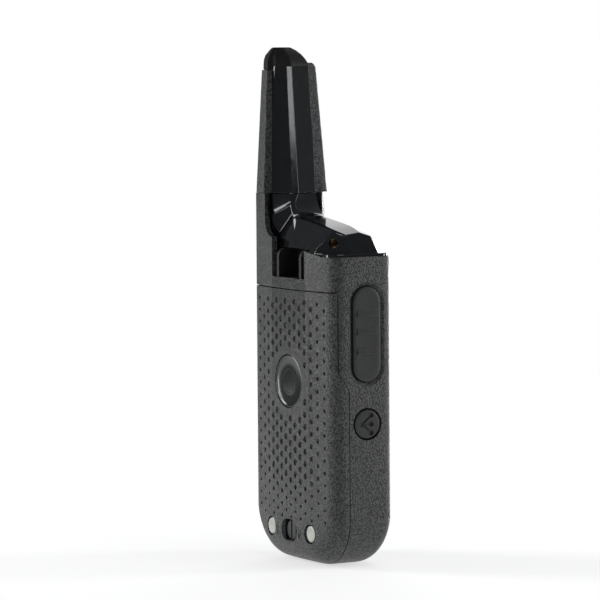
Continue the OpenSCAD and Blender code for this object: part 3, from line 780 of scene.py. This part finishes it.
def cover_form():
    """The swept cover: the antenna's two facets turn out of the stem into a roof and a rear face."""
    front = [
        (13.9, -7.2, 129.7), (12.9, -7.2, 127), (11.6, -7.3, 124.4), (9.2, -7.5, 122), (6.6, -7.8, 120.9),
        (3, -8.2, 120.3), (-4, -8.6, 119.2), (-11, -8.8, 118.2), (-19, -8.2, 117), (-25.6, -6.4, 115.9)]
    roof = [
        (11.7, -1, 129.7), (10.2, -1, 127.1), (8.6, -1, 124.7), (6.4, -1.2, 122.9), (3.6, -1.6, 122.2),
        (-0.5, -2, 121.9), (-7, -2.2, 121), (-12.5, -2.4, 120.2), (-19.5, -2.3, 119.1), (-26.2, -1.4, 117.4)]
    ridge = [
        (8.1, 3.4, 129.7), (7.5, 4.9, 127.2), (6.4, 5.3, 125.1), (4.3, 5.3, 123.2), (2.3, 5.3, 122.3),
        (-1, 5.3, 121.7), (-6.8, 5.3, 120.6), (-12, 5.3, 119.7), (-19.7, 5.1, 118.2), (-26.4, 4.2, 116.7)]
    brow = [
        (9.6, 5.2, 129.7), (9.3, 5.8, 127.3), (8.6, 6.3, 125), (7.2, 6.5, 123), (5, 6.5, 121.5),
        (0.6, 6.4, 121), (-6, 6.3, 120.2), (-12, 6.1, 119.3), (-19.7, 5.7, 117.8), (-26.6, 4.7, 116.2)]
    runs = [glide(run) for run in (front, roof, ridge, brow)]
    verts = [tuple(p) for run in runs for p in run]
    count = len(runs[0])
    faces = []
    for k in range(3):
        for i in range(count - 1):
            a = k * count + i
            faces.append((a, a + 1, a + 1 + count, a + count))

    def add(*points):
        """Numbers of new corners."""
        verts.extend(points)
        return list(range(len(verts) - len(points), len(verts)))

    def along(run, start, end):
        """Numbers of the points of a smooth run between two of its given points."""
        return [run * count + i for i in range(GLIDE_STEPS * start, GLIDE_STEPS * end + 1)]

    stem_top, stem_low, bend_hi, bend_lo = add(
        (17.4, 9.1, 129.7), (17.4, 9.1, 120.5), (17.4, 8.95, 123.6), (17.4, 9.25, 121.9))
    apex, heel, knee = add((8.6, 5.6, 122.7), (13.9, 8.1, 115.6), (15.8, 8.65, 117.5))
    tip_in, tip_low, foot_a, foot_b, foot_c = add(
        (4.4, 7.4, 121), (2.5, 8.2, 117.4), (2.8, 8.8, 114.8), (-1, 9.4, 113.1), (-4, 9.7, 112.2))
    foot_d, jaw = add((-15.5, 9.7, 111.8), (-19, 8.7, 114))
    shelf_a, shelf_b = add((11.4, 8.6, 114.7), (11.4, 9.4, 109.1))
    sill_a, sill_b, sill_c, end_rear = add((2.8, 10.4, 109.1), (-4, 10.9, 109.1), (-15.5, 10.9, 109.1),
                                           (-27.9, 2.8, 109.1))
    end_front, front_a, front_b = add((-27.6, -8.6, 109.1), (-24.6, -11.2, 109.1), (12.2, -11.2, 109.1))
    front_c, front_d, chin = add((14.4, -8.9, 109.1), (17.4, -8.6, 109.1), (17.4, 9.2, 109.1))
    neck_a, neck_b = add((17.4, -8.6, 129.7), (14.9, -8.6, 129.7))
    bend = along(3, 1, 2)
    # rear: stem facet, its bend, the two creased facets under it, then the long rear face
    faces.append(tuple([stem_top] + along(3, 0, 1) + [bend_hi]))
    faces.append((bend_hi, *bend[:3], bend_lo))
    faces.append((bend_lo, *bend[2:], apex, heel, knee, stem_low))
    faces.append(tuple(along(3, 2, 4) + [tip_in, apex]))
    faces.append((apex, tip_in, tip_low, foot_a, shelf_a, heel))
    faces.append(tuple(along(3, 4, 8) + [jaw, foot_d, foot_c, foot_b, foot_a, tip_low, tip_in]))
    faces.append(tuple(along(3, 8, 9) + [end_rear, sill_c, foot_d, jaw]))
    faces.append((foot_a, foot_b, foot_c, sill_b, sill_a))
    faces.append((foot_c, foot_d, sill_c, sill_b))
    faces.append((foot_a, sill_a, shelf_b, shelf_a))
    faces.append((heel, shelf_a, shelf_b, chin, stem_low, knee))
    # end face, front and the hidden sides
    ends = [k * count + count - 1 for k in range(4)]
    faces.append(tuple(ends + [end_rear, end_front]))
    faces.append((ends[0], end_front, front_a))
    faces.append(tuple([neck_b] + along(0, 0, 9) + [front_a, front_b, front_c]))
    faces.append((neck_a, neck_b, front_c, front_d))
    faces.append((stem_top, bend_hi, bend_lo, stem_low, chin, front_d, neck_a))
    faces.append(tuple([neck_a, stem_top] + [k * count for k in (3, 2, 1, 0)] + [neck_b]))
    faces.append((end_rear, sill_c, sill_b, sill_a, shelf_b, chin,
                  front_d, front_c, front_b, front_a, end_front))
    return solid("top_cover_gloss", verts, faces)


def flange():
    """The thin lip of the cover that lies on the shoulder of the housing, up to the stem."""
    half, inset, stem_side = HALF_W - SKIN, 0.5, 12.9
    low, waist, high = 109.06, 109.8, 110.05
    turns = [math.radians(a) for a in range(0, 91, 15)]
    plan = []
    for side, round_back in zip((1, -1), BACK_ROUND):
        rear = crown(half - round_back)
        rear_arc = [(half - round_back * (1 - math.cos(a)), rear - round_back * (1 - math.sin(a)))
                    for a in turns]
        front_arc = [(half - FRONT_ROUND * (1 - math.cos(a)), SKIN - FRONT + FRONT_ROUND * (1 - math.sin(a)))
                     for a in turns]
        run = rear_arc[::-1] + front_arc
        plan += [(side * x, y) for x, y in (run if side > 0 else run[::-1])]
    inner = [(min(stem_side, x * (1 - inset / half)), y * (1 - inset / FRONT)) for x, y in plan]
    eased_edge = [(x * 0.994 if x < stem_side else x, y * 0.985) for x, y in inner]
    return stack("flange", [(low, inner), (waist, inner), (high, eased_edge)])


def make_cover():
    """The gloss cover with its slot for the clip and the accessory jack's bore, and the tube inside it."""
    cover = cover_form()
    soften(cover, 0.35, 14)
    carve(cover, flange(), how="UNION")
    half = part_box("clip_guide")[1].x / MM + 0.1
    bore = spin([(0, 3), (2.0, 3), (1.98, -1.35), (1.7, -1.5), (1.7, -9), (0, -9)], 32)
    carve(cover, block("slot", (-half, 3.1, 100), (half, 20, 111.2)),
          solid("bore", *aim(bore, JACK_AT, JACK_TURN)))
    settle(cover, "top_cover", "gloss_plastic", 30)
    flatten_normals(cover)
    wall = [(1.4, -8.8), (1.68, -8.8), (1.68, -4.6), (1.6, -4.5), (1.48, -4.5), (1.4, -4.6), (1.4, -8.8)]
    settle(solid("jack_tube", *aim(spin(wall, 32), JACK_AT, JACK_TURN)), "accessory_jack", "brass")


# ---------------------------------------------------------------- antenna


def make_antenna_cap():
    """The satin cap over the spine, faceted like it below and rounding off at the top."""
    layers = [
        (173.5, [(18.1, 10), (21.5, 9.5), (25.2, 7.6), (26.2, 5.2), (25.6, -4.5), (22.8, -6.8),
                 (18.9, -7.7), (17.05, -6.2), (11.35, 3.9), (12.6, 5.3), (16.1, 7.9), (18, 8.35)]),
        (175.6, [(18.1, 9.9), (21.5, 9.4), (25.1, 7.6), (26.1, 5.1), (25.5, -4.3), (22.7, -6.4),
                 (18.8, -7.3), (17.15, -5.8), (11.7, 3.9), (12.9, 5.2), (16.2, 7.8), (18, 8.3)]),
        (177.2, [(18.3, 9.5), (21.6, 9.1), (24.8, 7.6), (25.9, 5), (25.3, -4), (22.6, -6),
                 (18.9, -6.2), (17.5, -4.8), (12.7, 3.8), (13.7, 5.1), (16.5, 7.5), (18.2, 8.1)]),
        (178.8, [(18.8, 8.6), (21.8, 8.4), (24.2, 7.3), (25.3, 4.8), (25.2, -3.2), (22.6, -5.2),
                 (19.4, -4.9), (18, -3.6), (14.4, 3.6), (15.2, 4.9), (17, 6.9), (18.5, 7.7)]),
        (180.3, [(19.3, 7.5), (21.7, 7.2), (23.2, 6.2), (24.1, 4.2), (24, -1.3), (22.3, -3),
                 (20, -3.1), (18.8, -1.8), (16.5, 3.4), (17, 4.5), (18, 6), (18.9, 6.8)]),
        (181.46, [(19.6, 6.4), (21.4, 6.1), (22.4, 5.3), (23, 3.8), (22.9, 0.6), (21.9, -0.5),
                  (20.3, -0.7), (19.5, 0.2), (18.2, 3.2), (18.4, 4.2), (18.9, 5.2), (19.3, 5.9)]),
    ]
    cap = stack("antenna_cap", layers)
    soften(cap, 0.4, 20)
    settle(cap, "antenna_spine", "satin_cap", 30)
    flatten_normals(cap)


def make_antenna_spine():
    """The gloss spine with its narrow ridge facet; a second facet opens along its edge in the upper half."""
    seam, split, under, rows = 129.95, 0.5, 174.8, 10
    foot = [(17.55, 9.15), (17.4, 9.08), (9.6, 5.1), (8.05, 3.3), (13.9, -7.2), (19.4, -7.2), (19.4, 9.15)]
    head = [(18, 8.3), (16.1, 7.9), (12.6, 5.3), (11.35, 3.9), (17, -6), (19.8, -6), (19.8, 8.3)]
    layers = []
    for k in range(rows + 1):
        t = k / rows
        row = [(a + (c - a) * t, b + (d - b) * t) for (a, b), (c, d) in zip(foot, head)]
        open_by = max(0, (t - split) / (1 - split))
        row[1] = (row[0][0] - 0.12 - 1.78 * open_by, row[0][1] - 0.06 - 0.34 * open_by)
        layers.append((seam + (under - seam) * t, row))
    spine = stack("antenna_gloss_spine", layers)
    soften(spine, 0.12, 12, 2)
    settle(spine, "antenna_spine", "gloss_plastic", 30)
    flatten_normals(spine)


def make_antenna_shells():
    """The grained shells beside the spine; the rear one ends under the cap, the front one is rounded."""
    top = [
        (174.3, [(17.3, -6.4), (18.6, -9.9), (23.4, -8.9), (26.4, -5.8), (26.4, -0.1), (20, -0.1)]),
        (175.3, [(17.5, -6.4), (18.7, -9.5), (23.1, -8.5), (25.9, -5.6), (25.9, -0.1), (20, -0.1)]),
        (175.9, [(17.9, -6.4), (18.9, -8.7), (22.7, -7.7), (25.2, -5.2), (25.2, -0.1), (20, -0.1)]),
    ]
    rear, front = from_cad("antenna_rear_shell"), from_cad("antenna_front_shell")
    carve(rear, block("trim", (0, -30, 173.45), (40, 30, 190)))
    carve(front, stack("rounded_top", top), how="UNION")
    for shell, node in ((rear, "antenna_rear_shell"), (front, "antenna_front_shell")):
        soften(shell, 0.3, 32, 2)
        settle(shell, node, "grained_plastic", 30)
        flatten_normals(shell)


# ---------------------------------------------------------------- buttons


PTT_PLACE = middle("ptt_button")[1:]  # y and z, as below
PTT_SIZE = (33.4, 11.1)  # length and width of the talk button
PAIR_PLACE = middle("pair_button")[1:]
PAIR_SIZE = (10.1, 10.1)


def oval(length, width, x, y, z, segments=12):
    """A stadium outline in the plane at x, longer along Z."""
    r, rise = width / 2, (length - width) / 2
    points = []
    for side in (1, -1):
        for i in range(segments + 1):
            a = math.pi * i / segments
            points.append((x, y + side * r * math.cos(a), z + side * (rise + r * math.sin(a))))
    return points


def side_solid(name, place, size, profile):
    """A solid through ovals stacked along X; profile is [x, how much larger than size]."""
    length, width = size
    return solid(name, *loft([oval(length + grow, width + grow, x, *place) for x, grow in profile]))


def make_talk_button():
    """The long oval button with three wedge-shaped steps across it."""
    profile = [(-25.7, 2.4), (-26.4, 2.4), (-26.41, 0), (-28.2, 0), (-28.6, -0.3), (-28.8, -0.9),
               (-28.88, -2), (-28.84, -5), (-28.8, -9.5)]
    talk = side_solid("talk_button", PTT_PLACE, PTT_SIZE, profile)
    for rise in (6.3, -0.1, -6.9):
        y, z = PTT_PLACE
        z += rise
        step = [(-28.6, z - 0.05), (-29.3, z), (-29.36, z + 0.3), (-29.3, z + 0.6), (-28.9, z + 2.6),
                (-28.6, z + 2.7)]
        wedge = prism("step", step, (y - 3.9, y + 3.9))
        soften(wedge, 0.12, 20, 2)
        carve(talk, wedge, how="UNION")
    settle(talk, "ptt_button", "button_rubber", 35)
    flatten_normals(talk)


def make_pair_button():
    """The round button with a sunk symbol: one dot joined to three others."""
    profile = [(-25.7, 2.4), (-26.4, 2.4), (-26.41, 0), (-28.2, 0), (-28.45, -0.15), (-28.6, -0.55),
               (-28.66, -1.2), (-28.68, -5), (-28.68, -9.5)]
    pair = side_solid("pair_button_face", PAIR_PLACE, PAIR_SIZE, profile)
    y0, z0 = PAIR_PLACE
    hub, tips, half_line = (2.2, 0), [(-1.5, 3.1), (-1.5, 0), (-1.5, -3.1)], 0.36
    pit = spin([(0, 1), (1.0, 1), (0.92, -0.7), (0, -0.8)], 20)
    dots = [solid("dot", *aim(pit, (-28.68, y0 + y, z0 + z), 90)) for y, z in [hub] + tips]
    links = []
    for tip in tips:
        a, b = Vector(hub), Vector(tip)
        run = Vector((tip[0] - hub[0], tip[1] - hub[1]))
        side = Vector((-run.y, run.x)).normalized() * half_line
        corners = [a + side, a - side, b - side, b + side]
        layers = [[(x, y0 + p.x, z0 + p.y) for p in corners] for x in (-29.5, -28.15)]
        links.append(solid("link", *loft(layers)))
    carve(pair, *dots, *links)
    settle(pair, "pair_button", "button_rubber", 35)
    flatten_normals(pair)


def button_openings():
    """Cutters for the talk button's scooped surround and opening, and for the pairing button's hole."""
    gap = 0.5
    scoop = [(-29.6, 3.2), (-28.66, 3.1), (-28.5, 2.5), (-28.25, 1.8), (-28, 1.2), (-27.85, gap),
             (-20, gap)]
    hole = [(-29.6, 1.5), (-28.66, 1.4), (-28.5, 1.2), (-28.3, 1.1), (-20, 1.1)]
    return [side_solid("scoop", PTT_PLACE, PTT_SIZE, scoop), side_solid("hole", PAIR_PLACE, PAIR_SIZE, hole)]


# ---------------------------------------------------------------- badge, contacts and lock


def lock_icons():
    """Two tiny padlock outlines, closed and open, pressed into the door beside its lock."""
    tools = []
    half, outer, inner = 1.15, 0.95, 0.5
    z = 10.6
    for x, shift in ((-7.6, 0), (7.8, 0.9)):
        depths = (crown(x) - 0.22, crown(x) + 2)
        base = [(x - half, z - 1.6), (x + half, z - 1.6), (x + half, z + 0.2), (x - half, z + 0.2)]
        arcs = [[(x + shift + r * math.cos(a), z + 0.8 + r * math.sin(a)) for a in
                 (math.pi * i / 8 for i in range(9))] for r in (outer, inner)]
        foot = [(x + shift + dx, z + 0.1) for dx in (outer, -outer, -inner, inner)]
        loop = [foot[0]] + arcs[0] + foot[1:3] + arcs[1][::-1] + [foot[3]]
        tools += [prism("icon", outline, depths) for outline in (base, loop)]
    return tools


def make_badge():
    """A plain round disc with a rounded rim and a shallow dished face."""
    lo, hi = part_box("badge_disc")
    back, front = lo.y / MM, hi.y / MM
    profile = [(0, back), (9.4, back), (9.4, front - 0.3), (9.3, front - 0.1), (9.05, front),
               (8.75, front - 0.04), (8.5, front - 0.2), (8.2, front - 0.26), (4.4, front - 0.2),
               (4.3, front - 0.3), (3.9, front - 0.3), (3.8, front - 0.2), (0, front - 0.17)]
    place = (0, 0, middle("badge_disc")[2])
    settle(solid("badge_face", *aim(spin(profile, 72), place)), "badge_disc", "badge", 40)


def make_contacts():
    """Two headed studs with softened faces, symmetric about the middle of the radio."""
    lo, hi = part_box("charge_contacts")
    radius, root, tip = 2.95, lo.y / MM, hi.y / MM
    x, z = hi.x / MM - radius, middle("charge_contacts")[2]
    profile = [(0, root), (1.6, root), (1.6, 7.2), (radius, 7.2), (radius, tip - 0.3), (2.85, tip - 0.1),
               (2.6, tip), (2.3, tip - 0.04), (0, tip - 0.08)]
    studs = many([(spin(profile, 40), (side * x, 0, z)) for side in (-1, 1)])
    settle(solid("contact_studs", *studs), "charge_contacts", "contact_silver", 40)


def make_lock():
    """The slotted head of the door lock, and a black sleeve lining the recess it turns in, as painted shade
    for the recess's deep shadow.
    """
    z = middle("charge_contacts")[2]  # level with the contacts
    profile = [(0, 5.9), (3.42, 5.9), (3.42, 9.7), (3.72, 9.7), (3.72, 10.2), (3.42, 10.2), (3.42, 11.3),
               (3.3, 11.5), (3.05, 11.58), (0, 11.6)]
    lock = solid("lock_head", *aim(spin(profile, 48), (0, 0, z)))
    carve(lock, block("slot", (-0.45, 10.4, z - 5), (0.45, 13, z + 5)))
    # a black sleeve lining the lock's recess: painted shade standing in for its deep shadow
    shade_sleeve = []
    for y, grow in ((9.62, -0.06), (11.9, -0.06), (12.15, -0.2), (12.15, -0.6), (10.1, -0.7), (9.8, -0.9)):
        shade_sleeve.append([(x, y, h) for _, x, h in oval(10.9 + grow, 8 + grow, 0, 0, z)])
    settle(solid("lock_shade_sleeve", *loft(shade_sleeve)), "battery_door", "inner_black", stands_for=False)
    soften(lock, 0.08, 50, 2)
    settle(lock, "door_lock", "button_rubber", 35)
    flatten_normals(lock)


def eased(node, width, finish, segments=2):
    """A CAD node's own shape with its edges rounded."""
    piece = from_cad(node)
    soften(piece, width, 32, segments)
    settle(piece, node, finish, 32)
    flatten_normals(piece)


def make_small_parts():
    """Parts that only need their own edges rounded."""
    eased("clip_guide", 0.25, "inner_black")
    for key in ("menu", "up", "down", "call", "power"):
        eased("key_" + key, 0.3, "button_rubber", segments=3)
    eased("display_window", 0.2, "window")
    eased("port_cover", 0.2, "button_rubber")


make_camera()
make_lights()
make_world()
make_floor()
FINISHES = make_finishes()
dress_cad_nodes()
make_shells()
make_cover()
make_antenna_spine()
make_antenna_cap()
make_antenna_shells()
make_talk_button()
make_pair_button()
make_badge()
make_contacts()
make_lock()
make_small_parts()
